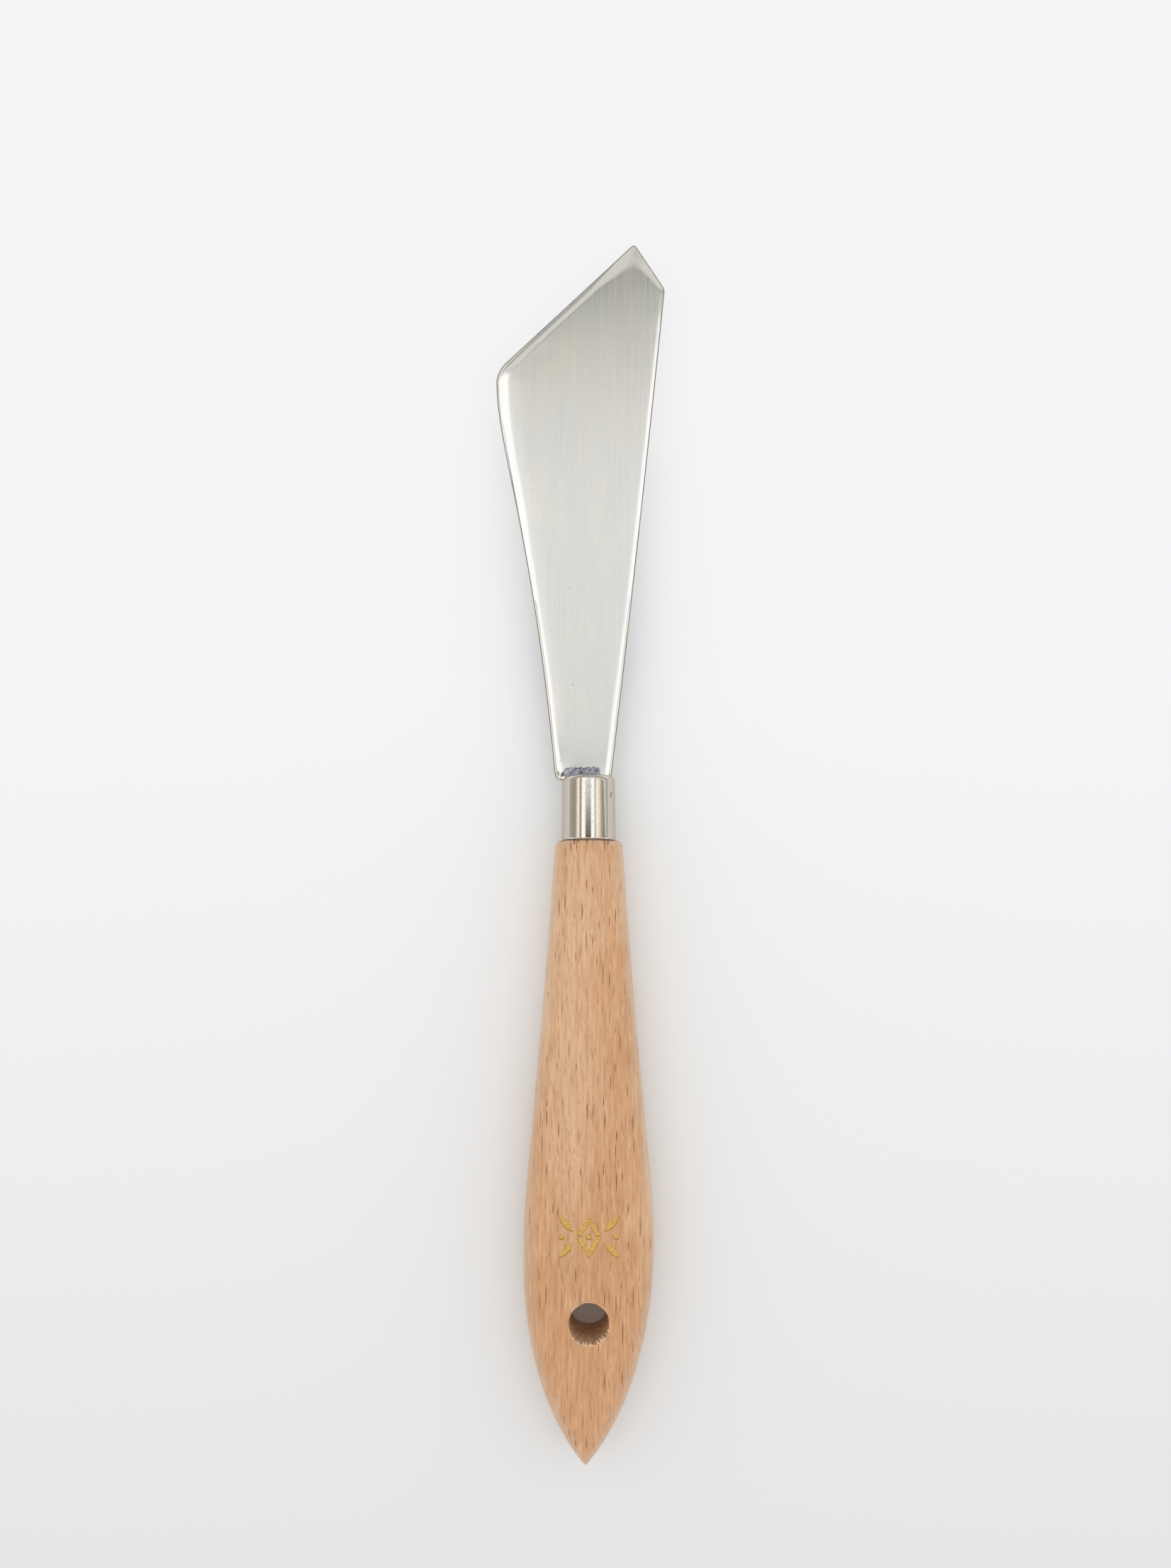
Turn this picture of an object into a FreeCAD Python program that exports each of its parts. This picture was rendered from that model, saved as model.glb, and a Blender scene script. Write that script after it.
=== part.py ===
import FreeCAD, Part
import math
import os

# Palette knife with a stiff, skewed blade, a drawn ferrule and a flat beech handle.
#
# Frame, in millimetres: the knife lies on its back. The origin is the centre of the hang hole on the
# rest plane. +Y runs along the handle to the blade's tip, +X is to the right seen from above, +Z is up.

Vector = FreeCAD.Vector

# ---------------------------------------------------------------- driving dimensions

# Handle, measured back from the shoulder that the ferrule butts on
HANDLE_LENGTH = 110.2       # to where its two sides would meet in a sharp point
HANDLE_THICKNESS = 12.0
NECK_WIDTH = 12.5
BELLY_WIDTH = 23.3
BELLY_FROM_SHOULDER = 71.3
HOLE_FROM_SHOULDER = 84.8
HANG_HOLE_D = 7.0

# Each side of the handle is four tangent arcs: hollow neck and belly, belly and tail. A reach is the
# length of the tangent from a pair's start to where it meets the tangent at the arcs' join.
NECK_FLARE = 3.7            # degrees off the axis where a side leaves the shoulder
NECK_REACH = 30.6
BELLY_REACH = 7.6
TAIL_HALF_ANGLE = 38.9      # degrees off the axis where a side reaches the point
TAIL_LEAN = 0.6             # the point sits this far left of the axis

HANDLE_ROLL = 5.0           # radius of the long edges
SHOULDER_ROUND = 1.2        # radius of the rim round the front end
FRONT_TURNING_ANGLE = 20.0  # degrees off the axis of the cone that trims the front end round
TAIL_ROUND = 0.7

# Blade: its tip is measured from the ferrule's front face, its shoulders back from the tip and
# every corner sideways from the axis
TIP_REACH = 107.0
TIP_RIGHT = 9.1
RIGHT_SHOULDER_BEHIND_TIP = 9.8
RIGHT_SHOULDER_RIGHT = 15.2
LEFT_SHOULDER_BEHIND_TIP = 26.9
LEFT_SHOULDER_LEFT = 18.0
BASE_LEFT = 6.3
BASE_RIGHT = 4.2
BLADE_BASE_THICKNESS = 1.3
BLADE_TIP_THICKNESS = 0.4

# The left edge is the only curved one: its direction and reach at either end
LEFT_BASE_LEAN = 5.3        # degrees, leaning out from the axis
LEFT_BASE_REACH = 51.0
LEFT_SHOULDER_LEAN = -2.9   # degrees, leaning back in
LEFT_SHOULDER_REACH_BACK = 14.0

# Corner rounds, first of the outline and then of the flat face inside the ground rim
BASE_ROUND = 1.3
LEFT_SHOULDER_ROUND = 4.0
TIP_ROUND = 0.6
RIGHT_SHOULDER_ROUND = 1.3
BASE_FACE_ROUND = 1.0
LEFT_SHOULDER_FACE_ROUND = 3.0
TIP_FACE_ROUND = 3.5
RIGHT_SHOULDER_FACE_ROUND = 3.0

# Rim ground round both faces in two facets: its width along each edge, the share of that width
# which the steep outer facet takes, and how far below the face each facet's outer line lies
BASE_RIM = 0.9
LEFT_RIM = 2.1
WORKING_EDGE_RIM = 2.4
TIP_RIM = 1.2
RIGHT_RIM = 1.3
STEEP_SHARE = 0.3
EDGE_DROP = 0.15
BREAK_DROP = 0.05

# Blade root, held in the fork of the tang
ROOT_WIDTH = 4.2
ROOT_THICKNESS = 1.2
ROOT_LENGTH = 8.0

# Ferrule: a drawn cup, open at the back, sawn across its front for the blade. Its inside is
# straight and its outside tapers, so the wall is thinnest at the front.
FERRULE_LENGTH = 12.2
FERRULE_FRONT_D = 9.8
FERRULE_REAR_D = 10.1
FERRULE_WALL = 0.5
FERRULE_RIM_ROUND = 1.0
SLOT_DEPTH = 0.7

# Tang and the hole that holds it
TANG_D = 4.5
TANG_LENGTH = 74.0
TANG_POINT_LENGTH = 6.0
TANG_POINT_D = 1.5
TANG_BORE_D = 5.3
TANG_BORE_SPARE = 1.0       # the bore goes on this far past the tang's point
DRILL_POINT_ANGLE = 118.0

# Weld beads, one on each face of the blade
BEAD_LENGTH = 6.9
BEAD_WIDTH = 2.5
BEAD_HEIGHT = 0.45
BEAD_SHOWING = 1.9          # from the ferrule's front face to the bead's far edge
BEAD_LEFT = 1.25            # the bead's middle sits this far left of the axis

# Fits
FERRULE_ON_SPIGOT = 0.05    # radial
SPIGOT_SHORT = 1.8          # the spigot stops this far behind the ferrule's inner front
BLADE_IN_SLOT = 0.05        # each side
ROOT_IN_FORK = 0.05         # each side
TANG_BEHIND_BLADE = 0.05

# ---------------------------------------------------------------- places worked out from them

MID_Z = HANDLE_THICKNESS / 2.0
SHOULDER_Y = HOLE_FROM_SHOULDER
TAIL_Y = SHOULDER_Y - HANDLE_LENGTH
BELLY_Y = SHOULDER_Y - BELLY_FROM_SHOULDER
FERRULE_FRONT_Y = SHOULDER_Y + FERRULE_LENGTH
FERRULE_INNER_FRONT_Y = FERRULE_FRONT_Y - FERRULE_WALL
SPIGOT_END_Y = FERRULE_INNER_FRONT_Y - SPIGOT_SHORT
BASE_Y = FERRULE_FRONT_Y - SLOT_DEPTH
TIP_Y = FERRULE_FRONT_Y + TIP_REACH
TANG_FRONT_Y = BASE_Y - TANG_BEHIND_BLADE
BLADE_TAPER = (BLADE_BASE_THICKNESS - BLADE_TIP_THICKNESS) / 2.0 / (TIP_Y - BASE_Y)
BEYOND = 5.0                # how far cutting shapes run past what they cut


# ---------------------------------------------------------------- lines and curves in the XY plane

def heading(degrees_left):
    """Unit vector along +Y, turned to the left by so many degrees."""
    turn = math.radians(degrees_left)
    return Vector(-math.sin(turn), math.cos(turn), 0)


def moved_in(start, end, distance):
    """The line from start to end, moved to its right by distance, as a point and a direction."""
    along = (end - start).normalize()
    return start + Vector(along.y, -along.x, 0) * distance, along


def meeting(line, other):
    """Where two lines, each a point and a direction, cross."""
    point, along = line
    other_point, other_along = other
    gap = other_point - point
    turn = along.x * other_along.y - along.y * other_along.x
    return point + along * ((gap.x * other_along.y - gap.y * other_along.x) / turn)


def tangent_arc(start, leave, end):
    """The arc that leaves start in a direction and ends at end."""
    chord = end - start
    across = (leave - chord * (leave.dot(chord) / chord.dot(chord))).normalize()
    rise = chord.Length / 2.0 * math.tan(leave.getAngle(chord) / 2.0)
    return Part.Arc(start, start + chord / 2.0 + across * rise, end).toShape()


def two_arcs(start, leave, end, arrive, reach):
    """Two tangent arcs between two points with given directions; reach sets where they join."""
    gap = end - start
    other_reach = (gap.dot(gap) / 2.0 - reach * gap.dot(leave)) / (
        gap.dot(arrive) + reach * (1.0 - leave.dot(arrive))
    )
    ahead = start + leave * reach
    behind = end - arrive * other_reach
    join = ahead + (behind - ahead) * (reach / (reach + other_reach))
    at_join = (behind - ahead).normalize()
    return [tangent_arc(start, leave, join), tangent_arc(join, at_join, end)]


# ---------------------------------------------------------------- turned and cut shapes

def turned(*profile):
    """Solid of revolution about the handle's axis from (y, radius) points, closed on the axis."""
    corners = [Vector(0, y, MID_Z + radius) for y, radius in profile]
    ends = [Vector(0, profile[-1][0], MID_Z), Vector(0, profile[0][0], MID_Z)]
    loop = Part.makePolygon([*corners, *ends, corners[0]])
    return Part.Face(loop).revolve(Vector(0, 0, MID_Z), Vector(0, 1, 0), 360)


def block(width, front_y, back_y, low_z, high_z):
    """Box centred on X = 0, between two places along the knife and two heights."""
    return Part.makeBox(width, front_y - back_y, high_z - low_z, Vector(-width / 2.0, back_y, low_z))


def round_rim(shape, y, radius, rounding):
    """Round the circular edge of a turned shape that lies at one place and radius."""
    rim = [
        edge for edge in shape.Edges
        if isinstance(edge.Curve, Part.Circle)
        and abs(edge.Curve.Center.y - y) < 1e-6
        and abs(edge.Curve.Radius - radius) < 1e-6
    ]
    return shape.makeFillet(rounding, rim)


# ---------------------------------------------------------------- blade

def rounded(before, after, radius):
    """Poles, with weights, of the arc that rounds the corner between two lines."""
    corner = meeting(before, after)
    back = -before[1]
    ahead = after[1]
    half = back.getAngle(ahead) / 2.0
    reach = radius / math.tan(half)
    return [(corner + back * reach, 1.0), (corner, math.sin(half)), (corner + ahead * reach, 1.0)]


def smooth(*points):
    """Poles of a plain curve or line through its two end points, drawn by the points between."""
    return [(point, 1.0) for point in points]


def blade_outline(inset):
    """The blade's outline (inset 0) or the outline of its flat face (inset 1), clockwise.

    Every piece of an outline is a Bezier curve, given as poles with their weights.
    """
    base_left = Vector(-BASE_LEFT, BASE_Y, 0)
    left_shoulder = Vector(-LEFT_SHOULDER_LEFT, TIP_Y - LEFT_SHOULDER_BEHIND_TIP, 0)
    tip = Vector(TIP_RIGHT, TIP_Y, 0)
    right_shoulder = Vector(RIGHT_SHOULDER_RIGHT, TIP_Y - RIGHT_SHOULDER_BEHIND_TIP, 0)
    base_right = Vector(BASE_RIGHT, BASE_Y, 0)
    leave_base = heading(LEFT_BASE_LEAN)
    reach_shoulder = heading(LEFT_SHOULDER_LEAN)

    left_low = moved_in(base_left, base_left + leave_base, LEFT_RIM * inset)
    left_high = moved_in(left_shoulder - reach_shoulder, left_shoulder, LEFT_RIM * inset)
    working = moved_in(left_shoulder, tip, WORKING_EDGE_RIM * inset)
    tip_edge = moved_in(tip, right_shoulder, TIP_RIM * inset)
    right = moved_in(right_shoulder, base_right, RIGHT_RIM * inset)
    base = moved_in(base_right, base_left, BASE_RIM * inset)

    def round_here(outer_round, face_round):
        return face_round if inset else outer_round

    at_base_left = rounded(base, left_low, round_here(BASE_ROUND, BASE_FACE_ROUND))
    at_left_shoulder = rounded(
        left_high, working, round_here(LEFT_SHOULDER_ROUND, LEFT_SHOULDER_FACE_ROUND)
    )
    at_tip = rounded(working, tip_edge, round_here(TIP_ROUND, TIP_FACE_ROUND))
    at_right_shoulder = rounded(
        tip_edge, right, round_here(RIGHT_SHOULDER_ROUND, RIGHT_SHOULDER_FACE_ROUND)
    )
    at_base_right = rounded(right, base, round_here(BASE_ROUND, BASE_FACE_ROUND))

    left_start = at_base_left[-1][0]
    left_end = at_left_shoulder[0][0]
    left = smooth(
        left_start,
        left_start + leave_base * LEFT_BASE_REACH,
        left_end - reach_shoulder * LEFT_SHOULDER_REACH_BACK,
        left_end,
    )
    return [
        at_base_left,
        left,
        at_left_shoulder,
        smooth(at_left_shoulder[-1][0], at_tip[0][0]),
        at_tip,
        smooth(at_tip[-1][0], at_right_shoulder[0][0]),
        at_right_shoulder,
        smooth(at_right_shoulder[-1][0], at_base_right[0][0]),
        at_base_right,
        smooth(at_base_right[-1][0], at_base_left[0][0]),
    ]


def raised(point, side, drop):
    """A point of an outline, raised to a face of the blade (side 1 or -1) less a drop."""
    half = BLADE_BASE_THICKNESS / 2.0 - BLADE_TAPER * (point.y - BASE_Y)
    return point + Vector(0, 0, MID_Z + side * (half - drop))


def ruled(row, next_row):
    """Face of straight lines between two rows of poles with weights."""
    shape = Part.BezierSurface()
    shape.increase(len(row) - 1, 1)
    for place, (pole, weight) in enumerate(row, 1):
        shape.setPole(place, 1, pole, weight)
    for place, (pole, weight) in enumerate(next_row, 1):
        shape.setPole(place, 2, pole, weight)
    return shape.toShape()


def curve(poles):
    shape = Part.BezierCurve()
    shape.setPoles([pole for pole, _ in poles])
    for place, (_, weight) in enumerate(poles, 1):
        shape.setWeight(place, weight)
    return shape.toShape()


def rim_rows(outer, inner, side):
    """Poles of the three lines that bound a piece of the rim's two facets, from the edge in."""
    rows = []
    for share, drop in ((0.0, EDGE_DROP), (STEEP_SHARE, BREAK_DROP), (1.0, 0.0)):
        rows.append([
            (raised(point + (inner_point - point) * share, side, drop), weight)
            for (point, weight), (inner_point, _) in zip(outer, inner)
        ])
    return rows


def make_blade():
    """Plate that thins to the tip, with a rim ground round both faces, and its root."""
    faces = []
    upper_face = []
    lower_face = []
    for outer, inner in zip(blade_outline(0), blade_outline(1)):
        upper = rim_rows(outer, inner, 1)
        lower = rim_rows(outer, inner, -1)
        strip = [*reversed(upper), *lower]
        faces += [ruled(row, next_row) for row, next_row in zip(strip, strip[1:])]
        upper_face.append(curve(upper[-1]))
        lower_face.append(curve(lower[-1]))
    faces += [Part.Face(Part.Wire(upper_face)), Part.Face(Part.Wire(lower_face))]
    shell = Part.makeShell(faces)
    shell.sewShape()
    plate = Part.makeSolid(shell)
    if plate.Volume < 0:
        plate.reverse()
    half = ROOT_THICKNESS / 2.0
    root = block(ROOT_WIDTH, BASE_Y + BASE_RIM, BASE_Y - ROOT_LENGTH, MID_Z - half, MID_Z + half)
    return plate.fuse(root).removeSplitter()


# ---------------------------------------------------------------- ferrule

def ferrule_cavity():
    radius = FERRULE_FRONT_D / 2.0 - FERRULE_WALL
    return turned((SHOULDER_Y, radius), (FERRULE_INNER_FRONT_Y, radius))


def make_ferrule():
    front_radius = FERRULE_FRONT_D / 2.0
    cup = turned((SHOULDER_Y, FERRULE_REAR_D / 2.0), (FERRULE_FRONT_Y, front_radius))
    cup = round_rim(cup, FERRULE_FRONT_Y, front_radius, FERRULE_RIM_ROUND)
    half = BLADE_BASE_THICKNESS / 2.0 + BLADE_IN_SLOT
    slot = block(FERRULE_REAR_D + BEYOND, FERRULE_FRONT_Y + BEYOND, BASE_Y, MID_Z - half, MID_Z + half)
    return cup.cut(ferrule_cavity()).cut(slot)


# ---------------------------------------------------------------- tang

def make_tang():
    rod = turned(
        (TANG_FRONT_Y - TANG_LENGTH, TANG_POINT_D / 2.0),
        (TANG_FRONT_Y - TANG_LENGTH + TANG_POINT_LENGTH, TANG_D / 2.0),
        (TANG_FRONT_Y, TANG_D / 2.0),
    )
    half = ROOT_THICKNESS / 2.0 + ROOT_IN_FORK
    fork_end_y = BASE_Y - ROOT_LENGTH - TANG_BEHIND_BLADE
    fork = block(TANG_D + BEYOND, TANG_FRONT_Y + BEYOND, fork_end_y, MID_Z - half, MID_Z + half)
    return rod.cut(fork)


def tang_bore():
    """The drilled hole from the spigot's front end to a drill point behind the tang."""
    radius = TANG_BORE_D / 2.0
    bottom_y = TANG_FRONT_Y - TANG_LENGTH - TANG_BORE_SPARE
    point_depth = radius / math.tan(math.radians(DRILL_POINT_ANGLE / 2.0))
    return turned((bottom_y - point_depth, 0.0), (bottom_y, radius), (SPIGOT_END_Y, radius))


# ---------------------------------------------------------------- handle

def handle_slab(side):
    """Slab with rolled edges that ends in one side of the handle, right (1) or left (-1).

    Its other edges lie beyond the handle: the handle is what the right and left slabs share.
    """
    shoulder = Vector(NECK_WIDTH / 2.0, SHOULDER_Y, 0)
    belly = Vector(BELLY_WIDTH / 2.0, BELLY_Y, 0)
    tail = Vector(-side * TAIL_LEAN, TAIL_Y, 0)
    flare = -heading(NECK_FLARE)
    straight_back = -heading(0)
    closing = -heading(-TAIL_HALF_ANGLE)
    front = shoulder - flare * BELLY_WIDTH
    past_tail = tail + closing * BELLY_WIDTH
    far_x = -2.0 * BELLY_WIDTH
    edges = [
        Part.LineSegment(front, shoulder).toShape(),
        *two_arcs(shoulder, flare, belly, straight_back, NECK_REACH),
        *two_arcs(belly, straight_back, tail, closing, BELLY_REACH),
        *Part.makePolygon([
            tail,
            past_tail,
            Vector(far_x, past_tail.y, 0),
            Vector(far_x, front.y, 0),
            front,
        ]).Edges,
    ]
    slab = Part.Face(Part.Wire(edges)).extrude(Vector(0, 0, HANDLE_THICKNESS))
    level = [edge for edge in slab.Edges if abs(edge.tangentAt(edge.FirstParameter).z) < 1e-6]
    slab = slab.makeFillet(HANDLE_ROLL, level)
    return slab if side > 0 else slab.mirror(Vector(0, 0, 0), Vector(1, 0, 0))


def tail_waste():
    """What the sharp point of the tail loses to its round."""
    half = math.radians(TAIL_HALF_ANGLE)
    reach = TAIL_ROUND / math.tan(half)
    tail = Vector(-TAIL_LEAN, TAIL_Y, 0)
    left = tail + heading(TAIL_HALF_ANGLE) * reach
    right = tail + heading(-TAIL_HALF_ANGLE) * reach
    nose = tail + Vector(0, TAIL_ROUND / math.sin(half) - TAIL_ROUND, 0)
    outside = Vector(BEYOND, 0, 0)
    below = Vector(0, -BEYOND, 0)
    edges = [
        Part.Arc(left, nose, right).toShape(),
        *Part.makePolygon([
            right,
            right + outside,
            right + outside + below,
            left - outside + below,
            left - outside,
            left,
        ]).Edges,
    ]
    return Part.Face(Part.Wire(edges)).extrude(Vector(0, 0, HANDLE_THICKNESS))


def front_end():
    """Turned envelope of the handle: a rounded rim and a cone that opens towards the tail."""
    radius = NECK_WIDTH / 2.0
    tail_end_y = TAIL_Y - BEYOND
    tail_radius = radius + (SHOULDER_Y - tail_end_y) * math.tan(math.radians(FRONT_TURNING_ANGLE))
    envelope = turned((tail_end_y, tail_radius), (SHOULDER_Y, radius))
    return round_rim(envelope, SHOULDER_Y, radius, SHOULDER_ROUND)


def make_handle():
    spigot_radius = FERRULE_FRONT_D / 2.0 - FERRULE_WALL - FERRULE_ON_SPIGOT
    spigot = turned((SHOULDER_Y - SHOULDER_ROUND, spigot_radius), (SPIGOT_END_Y, spigot_radius))
    hole = Part.makeCylinder(HANG_HOLE_D / 2.0, HANDLE_THICKNESS + 2 * BEYOND, Vector(0, 0, -BEYOND))
    body = handle_slab(1).common(handle_slab(-1)).common(front_end()).cut(tail_waste())
    return body.fuse(spigot).cut(tang_bore()).cut(hole)


# ---------------------------------------------------------------- cement and weld

def make_cement(tang, blade):
    """Cement fills the ferrule's nose and the bore, round the tang and the blade's root."""
    behind = block(
        FERRULE_REAR_D + BEYOND,
        SPIGOT_END_Y,
        SHOULDER_Y - BEYOND,
        MID_Z - FERRULE_REAR_D,
        MID_Z + FERRULE_REAR_D,
    )
    nose = ferrule_cavity().cut(behind)
    return nose.fuse(tang_bore()).cut(tang).cut(blade)


def make_bead(side, blade, ferrule):
    """A weld bead on one face of the blade, upper (side 1) or lower (side -1), against the ferrule."""
    radius = ((BEAD_WIDTH / 2.0) ** 2 + BEAD_HEIGHT ** 2) / (2.0 * BEAD_HEIGHT)
    axis_z = MID_Z + side * (BLADE_BASE_THICKNESS / 2.0 + BEAD_HEIGHT - radius)
    axis_y = FERRULE_FRONT_Y + BEAD_SHOWING - BEAD_WIDTH / 2.0
    straight_length = BEAD_LENGTH - BEAD_WIDTH
    start = Vector(-BEAD_LEFT - straight_length / 2.0, axis_y, axis_z)
    end = start + Vector(straight_length, 0, 0)
    pill = Part.makeCylinder(radius, straight_length, start, Vector(1, 0, 0))
    pill = pill.fuse([Part.makeSphere(radius, start), Part.makeSphere(radius, end)])
    low_z, high_z = sorted([MID_Z, MID_Z + side * BEYOND])
    keep = block(BEAD_LENGTH + 2 * BEYOND, FERRULE_FRONT_Y + BEYOND, FERRULE_FRONT_Y, low_z, high_z)
    return pill.common(keep).cut(blade).cut(ferrule).removeSplitter()


# ---------------------------------------------------------------- export

def export(name, shape):
    if not shape.isValid() or len(shape.Solids) != 1:
        raise ValueError(f"{name}: {len(shape.Solids)} solids, valid {shape.isValid()}")
    shape.Solids[0].exportStep(f"parts/{name}.step")
    box = shape.optimalBoundingBox(False, False)
    print(
        f"{name:16s} {shape.Volume:9.1f} mm3"
        f"  x {box.XMin:7.2f} {box.XMax:7.2f}  y {box.YMin:7.2f} {box.YMax:7.2f}"
        f"  z {box.ZMin:6.2f} {box.ZMax:6.2f}"
    )


def main():
    os.makedirs("parts", exist_ok=True)
    blade = make_blade()
    ferrule = make_ferrule()
    tang = make_tang()
    export("blade", blade)
    export("ferrule", ferrule)
    export("tang", tang)
    export("handle", make_handle())
    export("tang_cement", make_cement(tang, blade))
    export("weld_bead_front", make_bead(1, blade, ferrule))
    export("weld_bead_back", make_bead(-1, blade, ferrule))


main()
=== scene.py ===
import math
import random

import bmesh
import bpy
import numpy as np
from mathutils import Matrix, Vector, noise


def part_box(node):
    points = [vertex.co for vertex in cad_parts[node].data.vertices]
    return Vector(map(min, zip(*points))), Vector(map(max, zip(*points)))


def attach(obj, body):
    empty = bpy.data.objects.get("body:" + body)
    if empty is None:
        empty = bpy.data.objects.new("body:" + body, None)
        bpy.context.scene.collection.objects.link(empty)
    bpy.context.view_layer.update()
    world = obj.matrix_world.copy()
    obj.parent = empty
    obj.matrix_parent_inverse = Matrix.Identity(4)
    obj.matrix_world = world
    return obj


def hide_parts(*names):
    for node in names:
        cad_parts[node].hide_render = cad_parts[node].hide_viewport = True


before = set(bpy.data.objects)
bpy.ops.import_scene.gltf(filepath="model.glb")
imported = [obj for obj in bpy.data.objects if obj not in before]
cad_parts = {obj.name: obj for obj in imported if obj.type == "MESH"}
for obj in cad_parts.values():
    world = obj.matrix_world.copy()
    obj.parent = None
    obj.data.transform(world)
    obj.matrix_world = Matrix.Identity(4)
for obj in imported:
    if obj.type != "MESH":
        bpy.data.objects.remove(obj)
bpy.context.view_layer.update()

MM = 0.001
SEED = 20

# ---- places, in millimetres


def node_box(node):
    low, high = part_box(node)
    return [value / MM for value in low], [value / MM for value in high]


HANDLE_LOW, HANDLE_HIGH = node_box("handle")
FERRULE_LOW, FERRULE_HIGH = node_box("ferrule")
BEAD_LOW, BEAD_HIGH = node_box("weld_bead_front")

MID_Z = (HANDLE_LOW[2] + HANDLE_HIGH[2]) / 2
SHOULDER_Y = FERRULE_LOW[1]
FERRULE_FRONT_Y = FERRULE_HIGH[1]
BASE_Y = FERRULE_FRONT_Y - 0.7
LEAST_DIVISOR = 1e-6

# Blade corners before rounding
TIP = (9.1, FERRULE_FRONT_Y + 106.75)
RIGHT_SHOULDER = (15.1, FERRULE_FRONT_Y + 97.2)
LEFT_SHOULDER = (-18.02, FERRULE_FRONT_Y + 80.2)
BASE_LEFT = (-6.3, BASE_Y)
BASE_RIGHT = (4.2, BASE_Y)
LEFT_BASE_LEAN = 5.3
LEFT_BASE_REACH = 51.0
LEFT_SHOULDER_LEAN = -2.9
LEFT_SHOULDER_REACH_BACK = 14.0
BASE_ROUND = 1.3
BASE_ROUND_HIDDEN = 0.4
LEFT_SHOULDER_ROUND = 6.5
TIP_ROUND = 0.6
RIGHT_SHOULDER_ROUND = 2.2
RIGHT_BULGE = 0.2

# Blade section. RIM_SHARE is the most of the half thickness that the rim takes, and BURR_ is a
# fine step along the edge, which fades out ahead of the ferrule
BLADE_HALF_AT_BASE = 0.65
BLADE_HALF_AT_TIP = 0.2
EDGE_ROUND = 0.22
EDGE_ROUND_SHARE = 0.55
EDGE_SHOWN = 0.8
RIM_BLEND = 2.4
STRIP_EXTRA_TILT = 8.8
RIM_SHARE = 0.92
BURR_PLACE = 0.40
BURR_HALF = 0.07
BURR_HEIGHT = 0.05
BURR_FADES = (29.0, 37.0)
CROWN = 0.03
CROWN_FULL_FROM = 6.0
EASE_REACH = 2.2
STRIP_BEND = 0.08

# Blade mesh: rows stand closer together over these lengths at its two ends
BLADE_BASE_DENSE = 1.6
BLADE_TIP_DENSE = 3.2
BLADE_ROW_GAP = 0.36
BLADE_COLUMNS = 116
EDGE_UPRIGHT = 0.5

# Ground rim along each side, as (distance ahead of the ferrule, value) pairs: how wide it is,
# how softly it starts, its slope in degrees, the width of the steeper strip outside it, and the
# slope that the face eases into over EASE_REACH before the rim
LEFT_RIM = {
    "width": [
        (-1, 1.5), (8, 1.1), (28, 0.9), (44, 1.1), (52, 1.5), (63, 1.75), (71, 2.05),
        (77, 2.25), (82, 2.1), (88, 1.8), (98, 1.8), (106, 3.4),
    ],
    "bend": [(0, 0.5), (40, 0.3), (78, 0.25), (82, 0.15), (96, 0.2), (101, 1.0), (106, 1.6)],
    "slope": [(0, 6.6), (60, 6.2), (68, 5.3), (79, 4.8), (84, 5.2), (96, 3.5), (101, 2.6), (106, 1.9)],
    "strip": [(38, 0.0), (50, 0.25), (62, 0.45), (70, 0.68), (78, 0.82), (97, 0.85), (103, 0.2)],
    "ease": [(0, 3.2), (30, 2.8), (60, 2.2), (78, 1.6), (86, 0.0)],
}
RIGHT_RIM = {
    "width": [(-1, 1.3), (13, 1.2), (30, 0.9), (68, 0.78), (91, 0.68), (97, 0.9), (100, 1.3), (104, 2.4)],
    "bend": [(0, 0.45), (68, 0.25), (91, 0.2), (98, 0.35), (104, 1.1)],
    "slope": [(0, 5.6), (90, 5.5), (97, 4.6), (104, 2.0)],
    "strip": [(96, 0.0), (98, 0.12), (106, 0.12)],
    "ease": [(0, 1.4), (60, 1.0), (88, 0.5), (92, 0.0)],
}
BASE_RIM = {
    "width": [(0, 0.6)], "bend": [(0, 0.3)], "slope": [(0, 0.0)], "strip": [(0, 0.0)], "ease": [(0, 0.0)],
}

# Handle outline: half widths and tangents of its long curves
NECK_HALF = 6.25
BELLY_HALF = 11.65
BELLY_Y = SHOULDER_Y - 71.0
TAIL_POINT_Y = SHOULDER_Y - 110.17
NECK_FLARE = 3.6
NECK_REACH = 43.5
BELLY_REACH_FRONT = 9.8
BELLY_REACH_BACK = 2.5
TAIL_HALF_ANGLE = 42.0
TAIL_REACH = 18.8
TAIL_LEAN = 0.6
TAIL_ROUND = 0.7
NECK_ROLL = 5.2
BELLY_ROLL = 4.0
TAIL_ROLL = 5.7
SHOULDER_ROUND = 1.2
SHOULDER_CONE = 20.0
HALF_THICKNESS = (HANDLE_HIGH[2] - HANDLE_LOW[2]) / 2
HOLE_RADIUS = 3.5
HANDLE_TAIL_DENSE = 3.0
HANDLE_ROW_GAP = 0.7
HANDLE_COLUMNS = 72
HANDLE_WALL_STEPS = 6

# Hang hole: of the fibres at its upper rim, those drawn above TORN_ABOVE stand into it, most
# toward TEAR_TURN, in half turns clockwise from +X
HOLE_STEPS = 180
HOLE_LEVELS = np.concatenate([[-7.5, -6.2], np.linspace(-6, 6, 25), [6.2, 7.5]])
HOLE_FLARE = 0.10
TEAR_DEPTH = 1.1
TEAR_RISE = (4.6, 6.0)
TORN_ABOVE = 0.55
TEAR_TURN = 0.40

# Ferrule section
FERRULE_FRONT_RADIUS = 4.9
FERRULE_BORE_RADIUS = 4.4
FERRULE_FRONT_ROUND = 1.0
FERRULE_REAR_ROUND = 0.5
FERRULE_REAR_CURL = 0.35
FERRULE_NOSE_RADIUS = 2.0
FERRULE_NOSE_WALL = 0.5
FERRULE_STEPS = 144

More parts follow.
